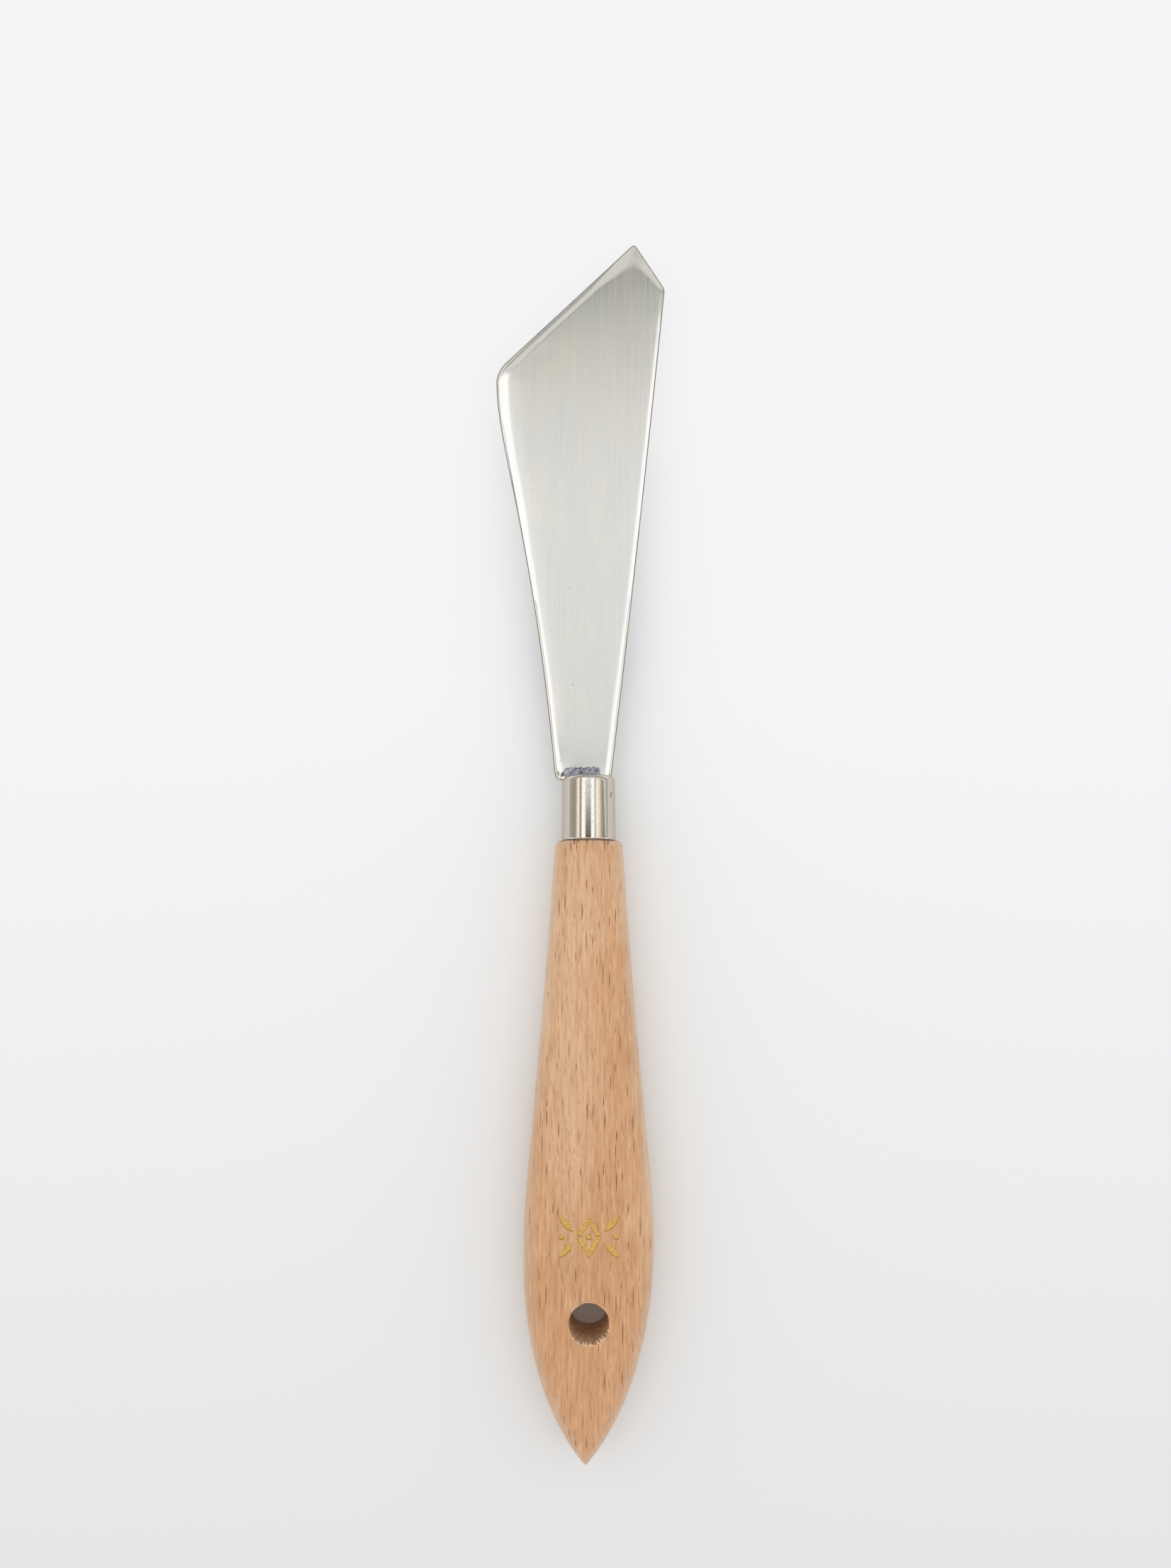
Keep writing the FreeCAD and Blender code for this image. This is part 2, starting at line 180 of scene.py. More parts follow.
# Weld: its grid, how square its ends are, how far it runs ahead and how lumpy its skin is
WELD_ACROSS = 80
WELD_ALONG = 28
WELD_SUNK = 0.04
WELD_END_POWER = 14
WELD_REACH = 0.90
WELD_WANDER = 0.16
WELD_SLANT = 0.06
WELD_SKIN = 0.55
WELD_LUMPS = 0.30
WELD_GRIT = 0.22
WELD_LEAST = 0.12

# Marks in the wood: shoulder cracks as (x, length) pairs, and a dark knot by the tail
SHOULDER_CRACKS = [(-2.7, 1.3), (-2.0, 0.8), (-0.35, 1.0), (2.9, 0.9), (3.6, 1.4)]
TAIL_KNOT = (-0.9, -22.6, 11.5)

# Foil stamp between belly and hole. LOZENGE_GAP is the share of a side left open at each corner,
# and LOZENGE_SIDE how far a side lies from the centre, as a share of the half width
FOIL_Y = 14.7
FOIL_STROKE = 0.86
FOIL_DEPTH = 0.14
FOIL_DRAFT = 0.13
FOIL_DRAFT_FROM = 0.4
LOZENGE_HALF_WIDTH = 2.3
LOZENGE_HALF_HEIGHT = 3.9
LOZENGE_GAP = 0.055
LOZENGE_SIDE = 0.86
LEAF_LENGTH = 3.7
LEAF_WIDTH = 1.2
LEAF_LEAN = 46.0
LEAF_ROOT = 2.75
LEAF_SPREAD = 0.9
DOT_PLACE = 4.8
DOT_RADIUS = 0.5

# Floor: its half side, and where its tone, painted shade that greys it toward the tail, starts and stops
# changing
FLOOR_HALF = 1200.0
FLOOR_BEYOND_Y = -240.0
FLOOR_NEAR_Y = -55.0
FLOOR_FAR_Y = 115.0

# Half depth of a dark fleck in the wood, as a share of its cell
FLECK_HALF_DEPTH = 0.6

# Where the floor glows with part of its own white, painted light which thins the shadow under the blade:
# the real blade seems to lie lower than the level one drawn here
PAINTED_GLOW_FROM_Y = 120.0
PAINTED_GLOW_TO_Y = 172.0
PAINTED_GLOW_SHARE = 0.75

# Light: even sky for matt surfaces, brighter panels for mirrored rays, and the degrees of lean
# where those panels start and end
BACKDROP = (0.91, 0.912, 0.91)
SKY_BASE = 0.95
SKY_TOP = 0.1
PANEL_LEVEL = 1.38
PANEL_SLANT = -0.13
PANEL_END = (28.8, 30.8)
CRISP_LEFT = (-17.0, -12.0)
CRISP_RIGHT = (8.0, 12.0)
SOFT_LEFT = (-15.0, -4.8)
SOFT_RIGHT = (4.8, 13.0)
SOFTENS = (8.0, 9.5)
BEHIND = (-11.0, -18.0)

# Camera, as fitted to the photograph of 1652 x 2213 pixels
PHOTO_WIDTH = 1652
FOCAL_PIXELS = 1680.0
SENSOR = 36.0
CAMERA_AT = (-0.601, 69.780, 229.0)
CAMERA_TILT = 6.6

# ---- curves


def heading(degrees_left):
    turn = math.radians(degrees_left)
    return np.array([-math.sin(turn), math.cos(turn)])


def bezier(start, pull_start, pull_end, end, steps=160):
    t = np.linspace(0, 1, steps + 1)[:, None]
    return (
        (1 - t) ** 3 * np.array(start) + 3 * t * (1 - t) ** 2 * np.array(pull_start)
        + 3 * t ** 2 * (1 - t) * np.array(pull_end) + t ** 3 * np.array(end)
    )


def corner_arc(before, corner, after, radius, steps=24):
    """Points of the arc that rounds a corner between two neighbouring points."""
    corner = np.array(corner, float)
    back = np.array(before, float) - corner
    ahead = np.array(after, float) - corner
    back /= np.linalg.norm(back)
    ahead /= np.linalg.norm(ahead)
    half = math.acos(np.clip(back @ ahead, -1, 1)) / 2
    bisector = (back + ahead) / np.linalg.norm(back + ahead)
    centre = corner + bisector * radius / math.sin(half)
    first = corner + back * radius / math.tan(half) - centre
    last = corner + ahead * radius / math.tan(half) - centre
    start = math.atan2(first[1], first[0])
    turn = (math.atan2(last[1], last[0]) - start + math.pi) % (2 * math.pi) - math.pi
    angles = start + turn * np.linspace(0, 1, steps + 1)
    return centre + radius * np.column_stack([np.cos(angles), np.sin(angles)])


def distance_to(points, line):
    """Least distance from each point to a polyline."""
    best = np.full(len(points), np.inf)
    for start, end in zip(line[:-1], line[1:]):
        along = end - start
        share = np.clip(((points - start) @ along) / max(along @ along, 1e-12), 0, 1)
        gap = points - start - share[:, None] * along
        best = np.minimum(best, np.einsum("ij,ij->i", gap, gap))
    return np.sqrt(best)


def smoothstep(low, high, value):
    share = np.clip((value - low) / (high - low), 0, 1)
    return share * share * (3 - 2 * share)


# ---- meshes


def new_object(name, vertices, faces, sharp_degrees=40):
    """Mesh object from millimetres, with doubled points merged and smooth faces."""
    mesh = bpy.data.meshes.new(name)
    mesh.from_pydata([tuple(float(value) * MM for value in point) for point in vertices], [], faces)
    shape = bmesh.new()
    shape.from_mesh(mesh)
    bmesh.ops.remove_doubles(shape, verts=shape.verts, dist=2e-7)
    bmesh.ops.dissolve_degenerate(shape, edges=shape.edges, dist=1e-8)
    bmesh.ops.recalc_face_normals(shape, faces=shape.faces)
    shape.to_mesh(mesh)
    shape.free()
    finish_normals(mesh, sharp_degrees)
    piece = bpy.data.objects.new(name, mesh)
    bpy.context.scene.collection.objects.link(piece)
    return piece


def finish_normals(mesh, sharp_degrees):
    mesh.polygons.foreach_set("use_smooth", [True] * len(mesh.polygons))
    mesh.set_sharp_from_angle(angle=math.radians(sharp_degrees))
    mesh.update()


def tube_faces(rings, around, closed=False):
    """Faces between neighbouring rings of points, and from the last to the first if closed."""
    faces = []
    for ring in range(rings if closed else rings - 1):
        near = ring * around
        far = (ring + 1) % rings * around
        for place in range(around):
            ahead = (place + 1) % around
            faces.append((near + place, near + ahead, far + ahead, far + place))
    return faces


def pillow(rows, left, right, columns, heights, wall_steps=1, shaped=None):
    """Closed plate between two outlines, one row of points at each y.

    heights gives how far the upper face lies above the middle; the lower face mirrors it.
    shaped may move the finished points.
    """
    across = (1 - np.cos(np.pi * np.arange(columns + 1) / columns)) / 2
    left_x = np.interp(rows, left[:, 1], left[:, 0])
    right_x = np.interp(rows, right[:, 1], right[:, 0])
    x = left_x[:, None] + (right_x - left_x)[:, None] * across[None, :]
    y = np.repeat(rows[:, None], columns + 1, axis=1)
    z = heights(x, y)

    upper = np.stack([x, y, z], axis=2)
    lower = np.stack([x, y, -z], axis=2)
    walls = []
    for step in range(1, wall_steps):
        share = step / wall_steps
        walls.append(upper[:, [0, -1]] * (1 - share) + lower[:, [0, -1]] * share)
    ring = [upper[:, ::-1]] + [wall[:, :1] for wall in walls] + [lower]
    ring += [wall[:, 1:] for wall in reversed(walls)]
    grid = np.concatenate(ring, axis=1)
    if shaped is not None:
        grid = shaped(grid)
    around = grid.shape[1]
    vertices = grid.reshape(-1, 3) + np.array([0, 0, MID_Z])
    return vertices, tube_faces(len(rows), around), around


# ---- blade


def blade_outlines():
    """Left and right outline of the blade, each from the base up to the tip."""
    curve = bezier(
        BASE_LEFT,
        np.array(BASE_LEFT) + heading(LEFT_BASE_LEAN) * LEFT_BASE_REACH,
        np.array(LEFT_SHOULDER) - heading(LEFT_SHOULDER_LEAN) * LEFT_SHOULDER_REACH_BACK,
        LEFT_SHOULDER,
    )
    base_left = corner_arc(BASE_RIGHT, BASE_LEFT, curve[4], BASE_ROUND)
    base_right = corner_arc(BASE_LEFT, BASE_RIGHT, RIGHT_SHOULDER, BASE_ROUND_HIDDEN)
    straight = np.array(RIGHT_SHOULDER) - np.array(BASE_RIGHT)
    outward = np.array([straight[1], -straight[0]]) / np.linalg.norm(straight)
    share = np.linspace(0.03, 0.95, 40)[:, None]
    bulged = np.array(BASE_RIGHT) + straight * share + outward * RIGHT_BULGE * 4 * share * (1 - share)
    left_shoulder = corner_arc(curve[-4], LEFT_SHOULDER, TIP, LEFT_SHOULDER_ROUND)
    tip = corner_arc(LEFT_SHOULDER, TIP, RIGHT_SHOULDER, TIP_ROUND)
    right_shoulder = corner_arc(BASE_RIGHT, RIGHT_SHOULDER, TIP, RIGHT_SHOULDER_ROUND)
    middle = curve[(curve[:, 1] > base_left[-1, 1]) & (curve[:, 1] < left_shoulder[0, 1])]
    top = int(np.argmax(tip[:, 1]))
    left = np.vstack([base_left, middle, left_shoulder, tip[: top + 1]])
    bulged = bulged[(bulged[:, 1] > base_right[-1, 1]) & (bulged[:, 1] < right_shoulder[0, 1])]
    right = np.vstack([base_right, bulged, right_shoulder, tip[top:][::-1]])
    return left, right


def soft_ramp(value, bend):
    """Zero below, the value itself above, and a rounded bend between."""
    rounded = (value + bend) ** 2 / (4 * bend)
    return np.where(value > bend, value, np.where(value < -bend, 0, rounded))


def rim_value(rim, name, ahead):
    places, values = zip(*rim[name])
    return np.interp(ahead, places, values)


def blade_heights(left, right):
    """Upper face: a tapering, barely crowned plate with a rim ground round it."""
    base = np.array([left[0], right[0]])

    def heights(x, y):
        points = np.column_stack([x.ravel(), y.ravel()])
        ahead = y - FERRULE_FRONT_Y
        sides = ((LEFT_RIM, left), (RIGHT_RIM, right), (BASE_RIM, base))
        total = np.zeros_like(x)
        blended = {name: np.zeros_like(x) for name in LEFT_RIM}
        for rim, line in sides:
            near = np.maximum(distance_to(points, line).reshape(x.shape), 1e-4) ** -RIM_BLEND
            total += near
            for name in blended:
                blended[name] += near * rim_value(rim, name, ahead)
        inside = total ** (-1 / RIM_BLEND)
        width, bend, slope, strip, ease = [blended[name] / total for name in LEFT_RIM]

        half = np.interp(ahead, [BASE_Y - FERRULE_FRONT_Y, TIP[1] - FERRULE_FRONT_Y],
                         [BLADE_HALF_AT_BASE, BLADE_HALF_AT_TIP])
        middle = (x[:, :1] + x[:, -1:]) / 2
        reach = np.maximum(x[:, -1:] - x[:, :1], LEAST_DIVISOR) / 2
        drop = CROWN * ((x - middle) / reach) ** 2 * smoothstep(0, CROWN_FULL_FROM, reach)
        drop = drop + np.tan(np.radians(slope)) * soft_ramp(width - inside, bend)
        drop = drop + np.tan(np.radians(ease)) * soft_ramp(width + EASE_REACH - inside, EASE_REACH)
        drop = drop + math.tan(math.radians(STRIP_EXTRA_TILT)) * soft_ramp(strip - inside, STRIP_BEND)
        burr = BURR_HEIGHT * (1 - smoothstep(*BURR_FADES, ahead))
        drop = drop + burr * (1 - smoothstep(BURR_PLACE - BURR_HALF, BURR_PLACE + BURR_HALF, inside))
        drop = np.minimum(drop, RIM_SHARE * half)
        turning = np.clip(1 - inside / EDGE_ROUND, 0, 1)
        depth = np.minimum(EDGE_ROUND, EDGE_ROUND_SHARE * (half - drop))
        return half - drop - depth * (1 - np.sqrt(1 - turning ** 2))
    return heights


def make_blade():
    left, right = blade_outlines()
    top = left[-1, 1]
    rows = np.concatenate([
        BASE_Y + BLADE_BASE_DENSE * np.linspace(0, 1, 15)[:-1] ** 1.6,
        np.arange(BASE_Y + BLADE_BASE_DENSE, top - BLADE_TIP_DENSE, BLADE_ROW_GAP),
        top - BLADE_TIP_DENSE * (1 - np.linspace(0, 1, 26)) ** 1.8,
    ])
    vertices, faces, around = pillow(rows, left, right, BLADE_COLUMNS, blade_heights(left, right))
    faces.append(tuple(range(around)))
    blade = new_object("blade_plate", vertices, faces, 50)
    outline = np.vstack([left, right[::-1]])
    blade.data.materials.append(blade_steel())
    blade.data.materials.append(blade_edge())
    faces = blade.data.polygons
    centres = np.empty(len(faces) * 3)
    faces.foreach_get("center", centres)
    upright = np.array([abs(face.normal.z) for face in faces])
    near = distance_to(centres.reshape(-1, 3)[:, :2] / MM, outline)
    # Steep faces and the outer rounding take the dark edge steel, whose colour is painted shade for the
    # edge's dark outline
    edge = (upright < EDGE_UPRIGHT) | (near < EDGE_SHOWN * EDGE_ROUND)
    faces.foreach_set("material_index", edge.astype(int).tolist())
    return blade


# ---- handle


def handle_outlines():
    """Left and right outline of the handle, each from the tail up to the shoulder."""
    sides = []
    for side in (-1, 1):
        shoulder = np.array([side * NECK_HALF, SHOULDER_Y])
        belly = np.array([side * BELLY_HALF, BELLY_Y])
        tail = np.array([-TAIL_LEAN, TAIL_POINT_Y])
        flare = np.array([side * math.sin(math.radians(NECK_FLARE)), -math.cos(math.radians(NECK_FLARE))])
        closing = np.array([
            -side * math.sin(math.radians(TAIL_HALF_ANGLE)), -math.cos(math.radians(TAIL_HALF_ANGLE)),
        ])
        down = np.array([0.0, -1.0])
        front = bezier(
            shoulder, shoulder + flare * NECK_REACH, belly - down * BELLY_REACH_FRONT, belly, 120
        )
        back = bezier(
            belly, belly + down * BELLY_REACH_BACK, tail - closing * TAIL_REACH, tail, 120
        )
        sides.append(np.vstack([front, back[1:]])[::-1])
    left, right = sides
    nose = corner_arc(left[6], left[0], right[6], TAIL_ROUND)
    low = int(np.argmin(nose[:, 1]))
    left = np.vstack([nose[: low + 1][::-1], left[left[:, 1] > nose[0, 1] + 0.02]])
    right = np.vstack([nose[low:], right[right[:, 1] > nose[-1, 1] + 0.02]])
    return left, right


def roll_radius(y):
    return np.interp(y, [TAIL_POINT_Y, BELLY_Y, SHOULDER_Y], [TAIL_ROLL, BELLY_ROLL, NECK_ROLL])


def handle_heights(left, right):
    def heights(x, y):
        points = np.column_stack([x.ravel(), y.ravel()])
        inside = np.minimum(distance_to(points, left), distance_to(points, right)).reshape(x.shape)
        roll = roll_radius(y)
        lost = np.clip(roll - inside, 0, roll)
        return HALF_THICKNESS - roll + np.sqrt(roll ** 2 - lost ** 2)
    return heights


def round_shoulder(grid):
    """Keep the front end within its turned cone and rounded rim."""
    radius = np.hypot(grid[..., 0], grid[..., 2])
    back = SHOULDER_Y - grid[..., 1]
    cone = NECK_HALF + back * math.tan(math.radians(SHOULDER_CONE))
    inner = NECK_HALF + SHOULDER_ROUND * math.tan(math.radians(NECK_FLARE)) - SHOULDER_ROUND
    round_part = inner + np.sqrt(np.maximum(SHOULDER_ROUND ** 2 - (SHOULDER_ROUND - back) ** 2, 0))
    limit = np.where(back < SHOULDER_ROUND, round_part, cone)
    shrink = np.minimum(1, limit / np.maximum(radius, LEAST_DIVISOR))
    grid[..., 0] *= shrink
    grid[..., 2] *= shrink
    return grid


def make_handle():
    left, right = handle_outlines()
    tail = left[0, 1]
    rows = np.concatenate([
        tail + HANDLE_TAIL_DENSE * np.linspace(0, 1, 16)[:-1] ** 1.8,
        np.arange(tail + HANDLE_TAIL_DENSE, SHOULDER_Y - 2 * SHOULDER_ROUND, HANDLE_ROW_GAP),
        SHOULDER_Y - SHOULDER_ROUND * (1 + np.linspace(1, 0.1, 5)),
        SHOULDER_Y - SHOULDER_ROUND * (1 - np.sin(np.linspace(0, math.pi / 2, 12))),
    ])
    vertices, faces, around = pillow(
        rows, left, right, HANDLE_COLUMNS, handle_heights(left, right), HANDLE_WALL_STEPS, round_shoulder
    )
    last = (len(rows) - 1) * around
    faces.append(tuple(range(last, last + around)))
    return new_object("beech_handle", vertices, faces, 42)


# ---- cutters for the hole and the foil


def carve(body, cutter, sharp_degrees=42):
    """Cut one closed mesh out of another; its faces keep the cutter's material."""
    cut = body.modifiers.new("cut", "BOOLEAN")
    cut.operation = "DIFFERENCE"
    cut.solver = "EXACT"
    cut.material_mode = "TRANSFER"
    cut.object = cutter
    depsgraph = bpy.context.evaluated_depsgraph_get()
    mesh = bpy.data.meshes.new_from_object(body.evaluated_get(depsgraph))
    body.modifiers.clear()
    old = body.data
    body.data = mesh
    bpy.data.meshes.remove(old)
    mesh.name = body.name
    finish_normals(mesh, sharp_degrees)
    bpy.data.objects.remove(cutter)


def hole_cutter(material):
    """Slightly torn drill hole: a tube whose radius varies, most at its upper rim's tail side."""
    chance = random.Random(SEED)
    around = HOLE_STEPS
    fibres = [chance.random() for _ in range(around)]
    vertices = []
    for level in HOLE_LEVELS:
        near_top = smoothstep(*TEAR_RISE, level)
        near_bottom = smoothstep(*TEAR_RISE, -level)
        for step in range(around):
            angle = 2 * math.pi * step / around
            tail_side = max(0.0, math.cos(angle + math.pi * TEAR_TURN)) ** 1.5
            tear = 0.0
            if fibres[step] > TORN_ABOVE:
                tear = TEAR_DEPTH * (fibres[step] - TORN_ABOVE) / (1 - TORN_ABOVE) * tail_side
            wander = 0.03 * math.sin(5 * angle + level) + 0.02 * math.sin(11 * angle - 2 * level)
            flare = HOLE_FLARE * max(near_top, near_bottom)
            radius = HOLE_RADIUS + wander + flare - tear * near_top
            vertices.append((radius * math.cos(angle), radius * math.sin(angle), MID_Z + level))
    faces = tube_faces(len(HOLE_LEVELS), around)
    faces.append(tuple(range(around))[::-1])
    last = (len(HOLE_LEVELS) - 1) * around
    faces.append(tuple(range(last, last + around)))
    cutter = new_object("hole_cutter", vertices, faces)
    cutter.data.materials.append(material)
    return cutter


def foil_motif():
    """Outlines of the stamp, each a closed loop: a lozenge's four bars, four leaves and three dots."""
    loops = []
    inner = 1 - FOIL_STROKE / (LOZENGE_HALF_WIDTH * LOZENGE_SIDE)
    corners = [
        (LOZENGE_HALF_WIDTH, 0), (0, LOZENGE_HALF_HEIGHT),
        (-LOZENGE_HALF_WIDTH, 0), (0, -LOZENGE_HALF_HEIGHT),
    ]
    for place in range(4):
        start = np.array(corners[place], float)
        end = np.array(corners[(place + 1) % 4], float)
        gap = (end - start) * LOZENGE_GAP
        loops.append(np.array([start + gap, end - gap, (end - gap) * inner, (start + gap) * inner]))
    sweep = np.linspace(-1, 1, 15)
    upper = np.column_stack([(sweep + 1) / 2 * LEAF_LENGTH, LEAF_WIDTH / 2 * np.cos(sweep * math.pi / 2)])
    lower = upper[1:-1][::-1] * [1, -1]
    leaf = np.vstack([upper, lower])
    for side in (-1, 1):
        for rise in (-1, 1):
            lean = math.radians(LEAF_LEAN) * rise
            turned = leaf @ np.array([[math.cos(lean), math.sin(lean)], [-math.sin(lean), math.cos(lean)]])
            loops.append((turned + [LEAF_ROOT, LEAF_SPREAD * rise]) * [side, 1])
    circle = np.linspace(0, 2 * math.pi, 24, endpoint=False)
    dot = DOT_RADIUS * np.column_stack([np.cos(circle), np.sin(circle)])
    for place in (-DOT_PLACE, 0, DOT_PLACE):
        loops.append(dot + [place, 0])
    return loops


def foil_cutter(material):
    """Shallow stamp with sloping walls, one closed prism for each outline."""
    vertices = []
    faces = []
    top = MID_Z + HALF_THICKNESS
    for loop in foil_motif():
        centre = loop.mean(axis=0)
        spread = loop - centre
        reach = np.linalg.norm(spread, axis=1)[:, None]
        widening = FOIL_DRAFT / np.maximum(reach, FOIL_DRAFT_FROM) / 2
        floor = centre + spread * (1 - widening)
        mouth = centre + spread * (1 + widening)
        first = len(vertices)
        count = len(loop)
        for outline, height in ((floor, top - FOIL_DEPTH), (mouth, top + FOIL_DEPTH)):
            vertices += [(x, y + FOIL_Y, height) for x, y in outline]
        for step in range(count):
            ahead = (step + 1) % count
            faces.append((first + step, first + ahead, first + count + ahead, first + count + step))
        faces.append(tuple(first + step for step in range(count))[::-1])
        faces.append(tuple(first + count + step for step in range(count)))
    cutter = new_object("foil_cutter", vertices, faces)
    cutter.data.materials.append(material)
    return cutter


# ---- ferrule and beads


def ferrule_profile():
    """Closed half section of the cup as (y, radius) points."""
    rear = FERRULE_HIGH[0]
    slope = (FERRULE_FRONT_RADIUS - rear) / (FERRULE_FRONT_Y - SHOULDER_Y)
    quarter = np.linspace(0, math.pi / 2, 12)
    profile = [(SHOULDER_Y, FERRULE_BORE_RADIUS)]
    for turn in quarter:
        y = SHOULDER_Y + FERRULE_REAR_ROUND * (1 - math.cos(turn))
        profile.append((y, rear - FERRULE_REAR_ROUND * (1 - math.sin(turn)) * FERRULE_REAR_CURL))
    straight_start = SHOULDER_Y + FERRULE_REAR_ROUND
    straight_end = FERRULE_FRONT_Y - FERRULE_FRONT_ROUND
    for y in np.linspace(straight_start, straight_end, 30)[1:]:
        profile.append((y, rear + slope * (y - straight_start)))
    edge_radius = profile[-1][1]
    for turn in quarter[1:]:
        y = straight_end + FERRULE_FRONT_ROUND * math.sin(turn)
        profile.append((y, edge_radius - FERRULE_FRONT_ROUND * (1 - math.cos(turn))))
    inner_y = FERRULE_FRONT_Y - FERRULE_NOSE_WALL
    profile += [(FERRULE_FRONT_Y, FERRULE_NOSE_RADIUS), (inner_y, FERRULE_NOSE_RADIUS)]
    profile.append((inner_y, FERRULE_BORE_RADIUS))
    return profile


def make_ferrule():
    around = FERRULE_STEPS
    vertices = []
    profile = ferrule_profile()
    for y, radius in profile:
        for step in range(around):
            angle = 2 * math.pi * step / around
            vertices.append((radius * math.cos(angle), y, MID_Z + radius * math.sin(angle)))
    faces = tube_faces(len(profile), around, closed=True)
    return new_object("ferrule_cup", vertices, faces, 40)


def make_weld(name, side):
    """Rough run of weld along the foot of the blade; side is 1 on the upper face, -1 on the lower."""
    low, high = BEAD_LOW, BEAD_HIGH
    foot = low[2] - MID_Z - WELD_SUNK
    rise = high[2] - low[2]
    rows = []
    for step in range(WELD_ACROSS + 1):
        u = 2 * step / WELD_ACROSS - 1
        x = low[0] + (high[0] - low[0]) * step / WELD_ACROSS
        wander = noise.noise((x * 1.7, side * 5.0, 2.0)) + 0.5 * noise.noise((x * 4.1, 3.0, side))
        ends = (1 - abs(u) ** WELD_END_POWER) ** (1 / 3.0)
        reach = (WELD_REACH + WELD_WANDER * wander + WELD_SLANT * u) * ends
        front = min(low[1] + (high[1] - low[1]) * reach, high[1])
        row = []
        for place in range(WELD_ALONG + 1):
            v = place / WELD_ALONG
            y = low[1] + (front - low[1]) * v
            dome = max(0.0, ends * (1 - v ** 3.0)) ** 0.5
            rough = WELD_SKIN + WELD_LUMPS * noise.noise((x * 2.2, y * 2.6, side * 7.0))
            rough += WELD_GRIT * noise.noise((x * 5.5, y * 6.0, side * 3.0))
            rough = min(1.0, max(WELD_LEAST, rough))
            row.append((x, y, foot + WELD_SUNK * dome + rise * dome * rough))
        rows.append(row)
    vertices = [(x, y, MID_Z + side * z) for row in rows for x, y, z in row]
    base = len(vertices)
    vertices += [(x, y, MID_Z + side * foot) for row in rows for x, y, z in row]
    faces = []
    width = WELD_ALONG + 1
    for step in range(WELD_ACROSS):
        for place in range(WELD_ALONG):
            first = step * width + place
            quad = (first, first + width, first + width + 1, first + 1)
            faces.append(quad)
            faces.append(tuple(base + corner for corner in reversed(quad)))
    rim = list(range(width))
    rim += [step * width + WELD_ALONG for step in range(1, WELD_ACROSS + 1)]
    rim += [WELD_ACROSS * width + place for place in range(WELD_ALONG - 1, -1, -1)]
    rim += [step * width for step in range(WELD_ACROSS - 1, 0, -1)]
    for place, corner in enumerate(rim):
        after = rim[(place + 1) % len(rim)]
        faces.append((corner, after, base + after, base + corner))
    return new_object(name, vertices, faces, 60)


# ---- node helpers


